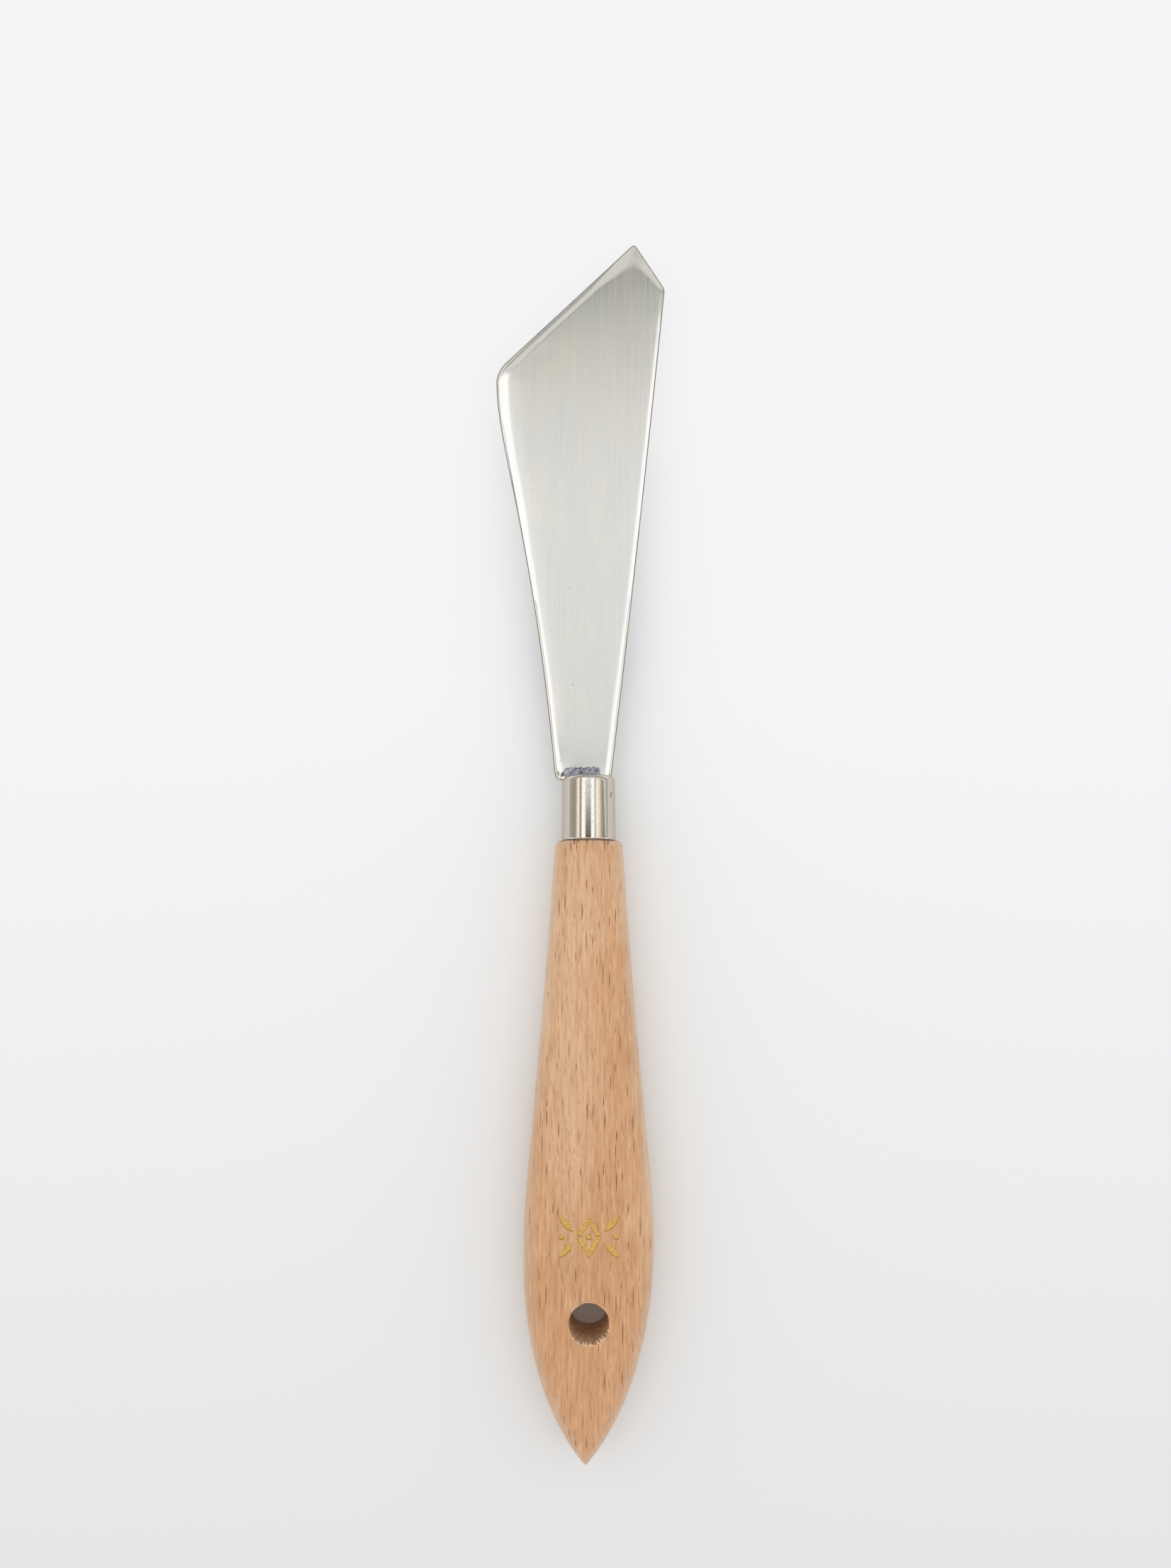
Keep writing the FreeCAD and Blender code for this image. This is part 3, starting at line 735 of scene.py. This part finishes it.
class Nodes:
    """A node tree with short calls for adding and linking nodes."""

    def __init__(self, tree):
        self.tree = tree

    def add(self, kind, **settings):
        node = self.tree.nodes.new(kind)
        for name, value in settings.items():
            setattr(node, name, value)
        return node

    def link(self, source, target):
        self.tree.links.new(source, target)

    def value_of(self, socket, source):
        if isinstance(source, (int, float)):
            socket.default_value = source
        else:
            self.link(source, socket)

    def math(self, operation, first, second=0.0):
        node = self.add("ShaderNodeMath", operation=operation)
        self.value_of(node.inputs[0], first)
        self.value_of(node.inputs[1], second)
        return node.outputs[0]

    def split(self, vector):
        node = self.add("ShaderNodeSeparateXYZ")
        self.link(vector, node.inputs[0])
        return node.outputs

    def position(self):
        return self.add("ShaderNodeTexCoord").outputs["Object"]

    def facing(self, axis):
        """How far the surface itself faces along an axis of the object."""
        return self.split(self.add("ShaderNodeTexCoord").outputs["Normal"])[axis]

    def stretched(self, scale, offset=(0, 0, 0)):
        """Object coordinates in millimetres, multiplied by a scale along each axis."""
        mapping = self.add("ShaderNodeMapping")
        mapping.inputs["Scale"].default_value = [value / MM for value in scale]
        mapping.inputs["Location"].default_value = offset
        self.link(self.position(), mapping.inputs["Vector"])
        return mapping.outputs[0]

    def noise(self, scale, detail=3.0, rough=0.5, offset=(0, 0, 0), distortion=0.0):
        node = self.add("ShaderNodeTexNoise")
        node.inputs["Scale"].default_value = 1.0
        node.inputs["Detail"].default_value = detail
        node.inputs["Roughness"].default_value = rough
        node.inputs["Distortion"].default_value = distortion
        self.link(self.stretched(scale, offset), node.inputs["Vector"])
        return node.outputs["Fac"]

    def ramp(self, source, stops):
        node = self.add("ShaderNodeValToRGB")
        ramp = node.color_ramp
        while len(ramp.elements) < len(stops):
            ramp.elements.new(0.5)
        for element, (place, colour) in zip(ramp.elements, stops):
            element.position = place
            element.color = (*colour, 1.0)
        self.link(source, node.inputs["Fac"])
        return node.outputs["Color"]

    def degree_ramp(self, degrees, stops):
        """Ramp whose stops are (degrees, colour) pairs."""
        low, high = stops[0][0], stops[-1][0]
        share = self.level(degrees, low, high)
        return self.ramp(share, [((place - low) / (high - low), colour) for place, colour in stops])

    def band(self, source, rise, fall):
        """1 between two edges, each given as the pair of values that it fades over."""
        return self.math("MULTIPLY", self.level(source, *rise), self.level(source, *fall, 1.0, 0.0))

    def level(self, source, low, high, to_low=0.0, to_high=1.0):
        node = self.add("ShaderNodeMapRange", clamp=True)
        node.inputs["From Min"].default_value = low
        node.inputs["From Max"].default_value = high
        node.inputs["To Min"].default_value = to_low
        node.inputs["To Max"].default_value = to_high
        self.link(source, node.inputs["Value"])
        return node.outputs["Result"]

    def mix(self, share, first, second, blend="MIX"):
        node = self.add("ShaderNodeMix", data_type="RGBA", blend_type=blend)
        self.value_of(node.inputs["Factor"], share)
        for socket, source in ((node.inputs["A"], first), (node.inputs["B"], second)):
            if isinstance(source, tuple):
                socket.default_value = (*source, 1.0)
            else:
                self.link(source, socket)
        return node.outputs["Result"]

    def tint(self, tone, mask, share, colour):
        return self.mix(self.math("MULTIPLY", mask, share), tone, colour)

    def mark(self, centre, half_sizes, lean):
        """1 at a place in millimetres, falling to 0 at an ellipsoid round it, leaning in x along y."""
        parts = self.split(self.position())
        gaps = []
        for axis, middle, half in zip("XYZ", centre, half_sizes):
            away = self.math("SUBTRACT", parts[axis], middle * MM)
            gaps.append((away, half * MM))
        slide = self.math("MULTIPLY", gaps[1][0], lean)
        gaps[0] = (self.math("SUBTRACT", gaps[0][0], slide), gaps[0][1])
        total = None
        for away, half in gaps:
            share = self.math("DIVIDE", away, half)
            square = self.math("MULTIPLY", share, share)
            total = square if total is None else self.math("ADD", total, square)
        return self.level(total, 0.35, 1.0, 1.0, 0.0)

    def bump(self, height, distance_mm, strength):
        node = self.add("ShaderNodeBump")
        node.inputs["Strength"].default_value = strength
        node.inputs["Distance"].default_value = distance_mm * MM
        self.link(height, node.inputs["Height"])
        return node.outputs["Normal"]


class Paint(Nodes):
    """A new material's nodes, round its own Principled shader."""

    def __init__(self, name):
        self.material = bpy.data.materials.new(name)
        self.material.use_nodes = True
        super().__init__(self.material.node_tree)
        self.shader = self.tree.nodes["Principled BSDF"]
        self.output = self.tree.nodes["Material Output"]

    def set(self, **values):
        for name, value in values.items():
            self.value_of(self.shader.inputs[name.replace("_", " ")], value)


def srgb(red, green, blue):
    """Linear colour from 0-255 display values."""
    values = []
    for value in (red, green, blue):
        share = value / 255
        values.append(share / 12.92 if share <= 0.04045 else ((share + 0.055) / 1.055) ** 2.4)
    return tuple(values)


# ---- materials


def blade_steel():
    nodes = Paint("blade_ground_steel")
    scratch = nodes.noise((5.0, 0.05, 2.0), detail=5.0, rough=0.8)
    cloud = nodes.noise((0.14, 0.05, 0.5), detail=3.0, rough=0.6, offset=(5, 1, 0))
    tone = nodes.ramp(cloud, [(0.40, (0.690, 0.715, 0.722)), (0.60, (0.765, 0.735, 0.700))])
    brushed = nodes.ramp(scratch, [(0.39, (0.680, 0.684, 0.674)), (0.61, (0.776, 0.772, 0.763))])
    tone = nodes.mix(0.5, tone, brushed)
    speck = nodes.noise((4.2, 3.4, 1.0), detail=0.0, offset=(1, 8, 3))
    tone = nodes.mix(nodes.level(speck, 0.84, 0.90), tone, (0.30, 0.29, 0.27))
    nodes.set(
        Base_Color=tone,
        Metallic=1.0,
        Roughness=nodes.level(scratch, 0.35, 0.65, 0.07, 0.13),
        Normal=nodes.bump(scratch, 0.0012, 0.45),
    )
    return nodes.material


def blade_edge():
    # Dark base colour: painted shade, standing in for the dark outline that the blade's edge shows
    nodes = Paint("blade_edge_painted_shade")
    grain = nodes.noise((3.0, 3.0, 3.0), detail=3.0, rough=0.7)
    nodes.set(
        Base_Color=nodes.ramp(grain, [(0.3, (0.20, 0.20, 0.185)), (0.7, (0.34, 0.34, 0.32))]),
        Metallic=1.0,
        Roughness=0.42,
        Normal=nodes.bump(grain, 0.01, 0.4),
    )
    return nodes.material


def ferrule_nickel():
    nodes = Paint("ferrule_satin_nickel")
    grit = nodes.noise((3.6, 2.8, 3.6), detail=3.0, rough=0.7)
    cloud = nodes.noise((0.5, 0.25, 0.5), detail=2.0)
    tone = nodes.ramp(cloud, [(0.3, (0.70, 0.675, 0.64)), (0.7, (0.76, 0.735, 0.70))])
    tone = nodes.mix(nodes.level(grit, 0.50, 0.68, 0.0, 0.60), tone, (0.46, 0.43, 0.39))
    sideways = nodes.math("ABSOLUTE", nodes.facing("X"))
    # Faces turned sideways take a darker, warmer tone: painted reflection of the shaded floor at the
    # ferrule's sides
    tone = nodes.mix(nodes.level(sideways, 0.64, 0.72), tone, (0.63, 0.575, 0.495))
    scar = nodes.mark((4.15, 93.3, MID_Z + 2.7), (0.16, 0.75, 1.6), 0.20)
    tone = nodes.tint(tone, scar, 0.8, (0.16, 0.14, 0.12))
    satin = nodes.level(grit, 0.3, 0.7, 0.06, 0.12)
    duller_side = nodes.level(sideways, 0.7, 1.0, 0.0, 0.3)
    nodes.set(
        Base_Color=tone,
        Metallic=1.0,
        Roughness=nodes.math("ADD", satin, duller_side),
        Normal=nodes.bump(grit, 0.002, 0.4),
    )
    nodes.shader.inputs["Specular Tint"].default_value = (0.85, 0.83, 0.79, 1.0)
    return nodes.material


def weld_metal():
    nodes = Paint("weld_blue_grey")
    grit = nodes.noise((1.25, 1.5, 1.2), detail=5.0, rough=0.72, distortion=0.6)
    lines = nodes.noise((0.8, 1.1, 0.9), detail=2.0, offset=(2, 3, 1), distortion=2.2)
    tone = nodes.ramp(grit, [(0.42, srgb(84, 87, 104)), (0.57, srgb(178, 181, 196))])
    vein = nodes.math("ABSOLUTE", nodes.math("SUBTRACT", lines, 0.5))
    tone = nodes.mix(nodes.level(vein, 0.012, 0.045, 0.9, 0.0), tone, srgb(230, 231, 238))
    left_end = nodes.mark((-4.7, 95.4, MID_Z), (1.6, 1.2, 9.0), 0.0)
    tone = nodes.tint(tone, left_end, 0.55, srgb(78, 78, 92))
    nodes.set(Base_Color=tone, Metallic=0.6, Roughness=0.50, Normal=nodes.bump(grit, 0.06, 0.8))
    return nodes.material


def plain_metal(name, colour, roughness):
    nodes = Paint(name)
    grain = nodes.noise((2.5, 0.3, 2.5), detail=3.0)
    darker = tuple(0.85 * value for value in colour)
    nodes.set(
        Base_Color=nodes.ramp(grain, [(0.3, darker), (0.7, colour)]),
        Metallic=1.0,
        Roughness=nodes.level(grain, 0.3, 0.7, roughness - 0.06, roughness + 0.06),
    )
    return nodes.material


def cement():
    nodes = Paint("cured_cement")
    grit = nodes.noise((1.8, 1.8, 1.8), detail=5.0, rough=0.7)
    nodes.set(
        Base_Color=nodes.ramp(grit, [(0.3, srgb(176, 168, 150)), (0.7, srgb(208, 200, 182))]),
        Roughness=0.85,
        Normal=nodes.bump(grit, 0.06, 0.6),
    )
    return nodes.material


def beech_colour(nodes):
    """Tan beech, paler at the neck, with clouds, fine fibres, short dark ray flecks and a painted pale
    sheen on its rolled sides.
    """
    parts = nodes.split(nodes.position())
    along = nodes.level(parts["Y"], HANDLE_LOW[1] * MM, SHOULDER_Y * MM)
    cloud = nodes.noise((0.075, 0.032, 0.06), detail=3.0, rough=0.55, offset=(3.1, 0.4, 0))
    warm = nodes.math("SUBTRACT", cloud, nodes.math("MULTIPLY", along, 0.20))
    tone = nodes.ramp(warm, [
        (0.22, srgb(223, 181, 141)), (0.36, srgb(215, 169, 127)), (0.50, srgb(207, 155, 110)),
    ])
    fibre = nodes.noise((2.6, 0.05, 0.8), detail=4.0, rough=0.65)
    shading = nodes.ramp(fibre, [(0.32, (0.80, 0.77, 0.74)), (0.62, (1.0, 1.0, 1.0))])
    tone = nodes.mix(0.65, tone, shading, "MULTIPLY")
    streak = nodes.noise((0.75, 0.018, 0.4), detail=2.0, rough=0.6, offset=(6, 3, 1))
    tone = nodes.mix(nodes.level(streak, 0.50, 0.72, 0.0, 0.30), tone, srgb(200, 144, 98))
    patch = nodes.noise((0.13, 0.05, 0.1), detail=3.0, rough=0.6, offset=(2, 7, 1))
    tone = nodes.mix(nodes.level(patch, 0.50, 0.68, 0.0, 0.45), tone, srgb(210, 150, 102))
    band = nodes.noise((1.15, 0.026, 0.6), detail=3.0, rough=0.6, offset=(1, 4, 2))
    tone = nodes.mix(nodes.level(band, 0.46, 0.32, 0.0, 0.25), tone, srgb(226, 184, 142))
    dash = nodes.noise((1.7, 0.2, 0.6), detail=3.0, rough=0.65, offset=(8, 5, 3))
    tone = nodes.mix(nodes.level(dash, 0.50, 0.66, 0.0, 0.40), tone, srgb(182, 126, 80))
    tone = nodes.mix(nodes.level(dash, 0.46, 0.34, 0.0, 0.40), tone, srgb(230, 190, 146))
    flecks = fleck_mask(nodes, (0.98, 0.16, 0.9), 0.11, 0.46, (0, 0, 0))
    small = fleck_mask(nodes, (1.40, 0.27, 0.9), 0.10, 0.46, (7.3, 2.1, 4.0))
    fine = fleck_mask(nodes, (1.75, 0.34, 1.0), 0.12, 0.46, (3.1, 9.4, 2.2))
    tone = nodes.tint(tone, fine, 0.50, srgb(160, 96, 52))
    tone = nodes.tint(tone, small, 0.75, srgb(146, 82, 40))
    tone = nodes.tint(tone, flecks, 0.95, srgb(124, 62, 26))
    # Faces that turn away from straight up, on the rolled sides, go pale grey-tan: painted sheen for the
    # lacquer's reflection and side light
    level_face = nodes.math("ABSOLUTE", nodes.facing("Z"))
    tone = nodes.mix(nodes.level(level_face, 0.88, 0.35, 0.0, 0.5), tone, srgb(208, 186, 162))
    for x, reach in SHOULDER_CRACKS:
        crack = nodes.mark((x, SHOULDER_Y, HANDLE_HIGH[2]), (0.24, reach, 5.0), x * 0.04)
        tone = nodes.tint(tone, crack, 0.8, srgb(104, 60, 38))
    knot = nodes.mark(TAIL_KNOT, (0.5, 0.38, 1.5), 0.0)
    tone = nodes.tint(tone, knot, 0.8, srgb(120, 78, 52))
    # A ragged darker band along the front strip of the shoulder, next to the ferrule
    ragged = nodes.noise((1.2, 0.6, 1.2), detail=3.0, rough=0.7, offset=(9, 2, 5))
    end_place = nodes.math("ADD", parts["Y"], nodes.math("MULTIPLY", ragged, 0.5 * MM))
    shoulder_dark_band = nodes.level(end_place, (SHOULDER_Y - 0.12) * MM, (SHOULDER_Y + 0.06) * MM)
    tone = nodes.tint(tone, shoulder_dark_band, 0.75, srgb(104, 62, 40))
    tone = nodes.mix(hole_halo(nodes, parts), tone, srgb(232, 203, 172))
    return tone, nodes.math("MAXIMUM", flecks, small), fibre


def hole_halo(nodes, parts):
    """Pale torn ring just outside the hang hole's edge."""
    flat = nodes.add("ShaderNodeCombineXYZ")
    nodes.link(parts["X"], flat.inputs["X"])
    nodes.link(parts["Y"], flat.inputs["Y"])
    length = nodes.add("ShaderNodeVectorMath", operation="LENGTH")
    nodes.link(flat.outputs[0], length.inputs[0])
    torn = nodes.noise((2.6, 2.6, 1.0), detail=3.0, rough=0.7, offset=(4, 4, 4))
    edge = nodes.math("SUBTRACT", length.outputs["Value"], nodes.math("MULTIPLY", torn, 0.9 * MM))
    start = (HOLE_RADIUS - 0.45) * MM
    return nodes.level(edge, start, start + 0.22 * MM, 0.62, 0.0)


def fleck_mask(nodes, scale, half_width, half_length, offset):
    """Slim lens-shaped marks, one in each cell of a stretched lattice, of random strength."""
    cells = nodes.add("ShaderNodeTexVoronoi", feature="F1", distance="EUCLIDEAN")
    cells.inputs["Scale"].default_value = 1.0
    cells.inputs["Randomness"].default_value = 0.85
    place = nodes.stretched(scale, offset)
    nodes.link(place, cells.inputs["Vector"])
    away = nodes.add("ShaderNodeVectorMath", operation="SUBTRACT")
    nodes.link(place, away.inputs[0])
    nodes.link(cells.outputs["Position"], away.inputs[1])
    parts = nodes.split(away.outputs[0])
    chance = nodes.add("ShaderNodeSeparateColor")
    nodes.link(cells.outputs["Color"], chance.inputs[0])
    length = nodes.level(chance.outputs[1], 0.0, 1.0, half_length * 0.35, half_length)
    across = nodes.math("DIVIDE", parts["X"], half_width)
    across = nodes.math("MULTIPLY", across, across)
    depth = nodes.math("DIVIDE", parts["Z"], FLECK_HALF_DEPTH)
    depth = nodes.math("MULTIPLY", depth, depth)
    across = nodes.math("SQRT", nodes.math("ADD", across, depth))
    along = nodes.math("DIVIDE", parts["Y"], length)
    reach = nodes.math("ADD", across, nodes.math("MULTIPLY", along, along))
    mark = nodes.level(reach, 0.55, 1.0, 1.0, 0.0)
    strength = nodes.level(chance.outputs[0], 0.15, 0.75)
    return nodes.math("MULTIPLY", mark, strength)


def beech():
    nodes = Paint("lacquered_beech")
    tone, flecks, fibre = beech_colour(nodes)
    height = nodes.math("SUBTRACT", nodes.math("MULTIPLY", fibre, 0.4), flecks)
    nodes.set(
        Base_Color=tone,
        Roughness=0.55,
        Coat_Weight=0.35,
        Coat_Roughness=0.25,
        Normal=nodes.bump(height, 0.012, 0.6),
    )
    return nodes.material


def raw_bore():
    nodes = Paint("raw_drilled_beech")
    torn = nodes.noise((3.5, 3.5, 0.9), detail=4.0, rough=0.7)
    tone = nodes.ramp(torn, [(0.3, srgb(176, 134, 98)), (0.65, srgb(228, 194, 158))])
    nodes.set(Base_Color=tone, Roughness=0.85, Normal=nodes.bump(torn, 0.12, 0.8))
    return nodes.material


def foil_gold():
    nodes = Paint("gold_foil")
    speckle = nodes.noise((7.0, 7.0, 7.0), detail=3.0, rough=0.7)
    # Faces that are not level, the stamp's walls, take a darker gold: painted shade for the dark edges of
    # the strokes
    wall = nodes.level(nodes.facing("Z"), 0.97, 0.88)
    floor = nodes.ramp(speckle, [
        (0.42, srgb(146, 106, 46)), (0.50, srgb(236, 192, 98)), (0.60, srgb(255, 236, 158)),
    ])
    nodes.set(
        Base_Color=nodes.mix(wall, floor, srgb(176, 130, 60)),
        Metallic=1.0,
        Roughness=0.30,
        Normal=nodes.bump(speckle, 0.03, 0.8),
    )
    return nodes.material


def floor_white():
    """Matt white sheet, painted a little greyer behind the tail as shade, and glowing with some of its own
    white ahead as painted light.
    """
    nodes = Paint("floor_white")
    place = nodes.split(nodes.position())["Y"]
    # Painted shade: the floor's white greys toward the tail and beyond it
    along = nodes.level(place, FLOOR_NEAR_Y * MM, FLOOR_FAR_Y * MM)
    tone = nodes.ramp(along, [
        (0.0, (0.785, 0.787, 0.785)), (0.5, (0.856, 0.858, 0.856)), (1.0, (0.915, 0.918, 0.915)),
    ])
    beyond = nodes.level(place, FLOOR_NEAR_Y * MM, FLOOR_BEYOND_Y * MM)
    tone = nodes.mix(beyond, tone, (0.90, 0.90, 0.90))
    nodes.set(Base_Color=tone, Roughness=0.9)
    nodes.shader.inputs["Specular IOR Level"].default_value = 0.0
    path = nodes.add("ShaderNodeLightPath")
    seen = nodes.math("MAXIMUM", path.outputs["Is Camera Ray"], path.outputs["Is Glossy Ray"])
    seen = nodes.math("MAXIMUM", seen, path.outputs["Is Transmission Ray"])
    # Painted light: ahead, the floor glows with a share of its own white for camera, glossy and
    # transmission rays
    share = nodes.level(place, PAINTED_GLOW_FROM_Y * MM, PAINTED_GLOW_TO_Y * MM, 0.0, PAINTED_GLOW_SHARE)
    glow = nodes.add("ShaderNodeEmission")
    nodes.link(tone, glow.inputs["Color"])
    both = nodes.add("ShaderNodeMixShader")
    nodes.link(nodes.math("MULTIPLY", seen, share), both.inputs["Fac"])
    nodes.link(nodes.shader.outputs[0], both.inputs[1])
    nodes.link(glow.outputs[0], both.inputs[2])
    nodes.link(both.outputs[0], nodes.output.inputs["Surface"])
    return nodes.material


# ---- set


def make_floor():
    half = FLOOR_HALF
    corners = [(-half, -half, 0), (half, -half, 0), (half, half, 0), (-half, half, 0)]
    floor = new_object("floor", corners, [(0, 1, 2, 3)])
    floor.data.materials.append(floor_white())


def room_ahead():
    """What a level mirror shows for each degree that its reflection leans forward."""
    return [
        (-40, srgb(232, 232, 230)), (-14, srgb(206, 186, 168)), (-7, srgb(122, 98, 82)),
        (-2, srgb(116, 108, 98)), (5.3, srgb(82, 77, 69)), (6.3, srgb(98, 93, 84)),
        (7.1, srgb(198, 197, 193)), (8.0, srgb(216, 216, 212)), (20, srgb(219, 219, 215)),
        (24, srgb(212, 211, 207)), (27, srgb(201, 197, 188)), (28.8, srgb(184, 182, 171)),
        (29.6, srgb(170, 169, 162)), (30.4, srgb(154, 155, 150)), (31.2, srgb(138, 139, 134)),
        (32.4, srgb(184, 181, 174)), (33.6, srgb(210, 206, 199)), (37, srgb(212, 208, 201)),
        (40, srgb(184, 182, 175)), (43, srgb(172, 171, 164)), (60, srgb(158, 157, 151)),
    ]


def room_aside():
    """The bright panels and darker gaps for each degree that a reflection leans to the side."""
    taupe = srgb(150, 142, 130)
    olive = srgb(141, 135, 119)
    white = srgb(254, 254, 252)
    return [
        (-95, srgb(170, 166, 156)), (-70, taupe), (-57, srgb(158, 150, 138)), (-50, srgb(238, 226, 214)),
        (-41, srgb(242, 231, 220)), (-38, srgb(140, 130, 118)), (-33, srgb(146, 136, 124)),
        (-29, white), (22, white), (26, srgb(190, 184, 176)), (30, srgb(192, 186, 178)),
        (34, srgb(248, 240, 230)), (48, srgb(228, 216, 202)), (56, srgb(172, 162, 144)),
        (66, olive), (90, srgb(148, 143, 130)),
    ]


def make_world():
    """Even white light for matt surfaces, and a room of panels and gaps for what metal mirrors."""
    world = bpy.data.worlds.new("studio")
    bpy.context.scene.world = world
    world.use_nodes = True
    tree = world.node_tree
    tree.nodes.clear()
    nodes = Nodes(tree)
    direction = nodes.add("ShaderNodeTexCoord").outputs["Generated"]
    parts = nodes.split(direction)
    degrees = math.degrees(1)
    up = nodes.math("MAXIMUM", parts["Z"], 0.0001)
    aside = nodes.math("MULTIPLY", nodes.math("ARCTAN2", parts["X"], up), degrees)
    ahead = nodes.math("MULTIPLY", nodes.math("ARCTAN2", parts["Y"], up), degrees)

    ahead_tone = nodes.degree_ramp(ahead, room_ahead())
    aside_tone = nodes.degree_ramp(aside, room_aside())
    slanted = nodes.math("SUBTRACT", ahead, nodes.math("MULTIPLY", aside, PANEL_SLANT))
    mirrored = nodes.mix(nodes.level(slanted, *PANEL_END), aside_tone, ahead_tone)
    crisp = nodes.band(aside, CRISP_LEFT, CRISP_RIGHT)
    soft = nodes.band(aside, SOFT_LEFT, SOFT_RIGHT)
    soft = nodes.math("MULTIPLY", soft, nodes.level(ahead, *SOFTENS))
    crisp = nodes.math("MULTIPLY", crisp, nodes.level(ahead, *SOFTENS, 1.0, 0.0))
    centre = nodes.math("ADD", soft, crisp)
    mirrored = nodes.mix(centre, mirrored, ahead_tone)
    mirrored = nodes.mix(nodes.level(ahead, *BEHIND), mirrored, ahead_tone)
    brighter = nodes.add("ShaderNodeVectorMath", operation="SCALE")
    nodes.link(mirrored, brighter.inputs[0])
    brighter.inputs["Scale"].default_value = PANEL_LEVEL

    height = nodes.math("MAXIMUM", parts["Z"], 0.0)
    sky = nodes.math("MULTIPLY", nodes.math("MULTIPLY", height, height), SKY_TOP)
    sky = nodes.math("ADD", sky, SKY_BASE)
    path = nodes.add("ShaderNodeLightPath")
    seen = nodes.mix(path.outputs["Is Glossy Ray"], sky, brighter.outputs[0])
    seen = nodes.mix(path.outputs["Is Transmission Ray"], seen, BACKDROP)
    seen = nodes.mix(path.outputs["Is Camera Ray"], seen, BACKDROP)
    background = nodes.add("ShaderNodeBackground")
    nodes.link(seen, background.inputs["Color"])
    output = nodes.add("ShaderNodeOutputWorld")
    nodes.link(background.outputs[0], output.inputs["Surface"])


def make_camera():
    data = bpy.data.cameras.new("camera")
    data.sensor_fit = "HORIZONTAL"
    data.sensor_width = SENSOR
    data.lens = FOCAL_PIXELS / PHOTO_WIDTH * SENSOR
    data.clip_start = 0.01
    camera = bpy.data.objects.new("camera", data)
    camera.location = [value * MM for value in CAMERA_AT]
    camera.rotation_euler = (math.radians(CAMERA_TILT), 0, 0)
    bpy.context.scene.collection.objects.link(camera)
    bpy.context.scene.camera = camera


# ---- assembly


def dress(node, material):
    """Give a node from the frame a material in every slot."""
    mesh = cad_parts[node].data
    mesh.materials.clear()
    mesh.materials.append(material)


def stand_for(piece, node):
    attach(piece, "root")
    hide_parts(node)


def main():
    make_world()
    make_floor()
    make_camera()

    blade = make_blade()
    stand_for(blade, "blade")

    handle = make_handle()
    handle.data.materials.append(beech())
    carve(handle, hole_cutter(raw_bore()))
    carve(handle, foil_cutter(foil_gold()))
    stand_for(handle, "handle")

    ferrule = make_ferrule()
    ferrule.data.materials.append(ferrule_nickel())
    stand_for(ferrule, "ferrule")

    weld = weld_metal()
    for name, node, side in (("weld_front", "weld_bead_front", 1), ("weld_back", "weld_bead_back", -1)):
        bead = make_weld(name, side)
        bead.data.materials.append(weld)
        stand_for(bead, node)
    dress("tang", plain_metal("tang_drawn_steel", (0.62, 0.61, 0.60), 0.35))
    dress("tang_cement", cement())

    bpy.context.scene.view_settings.view_transform = "Standard"


main()
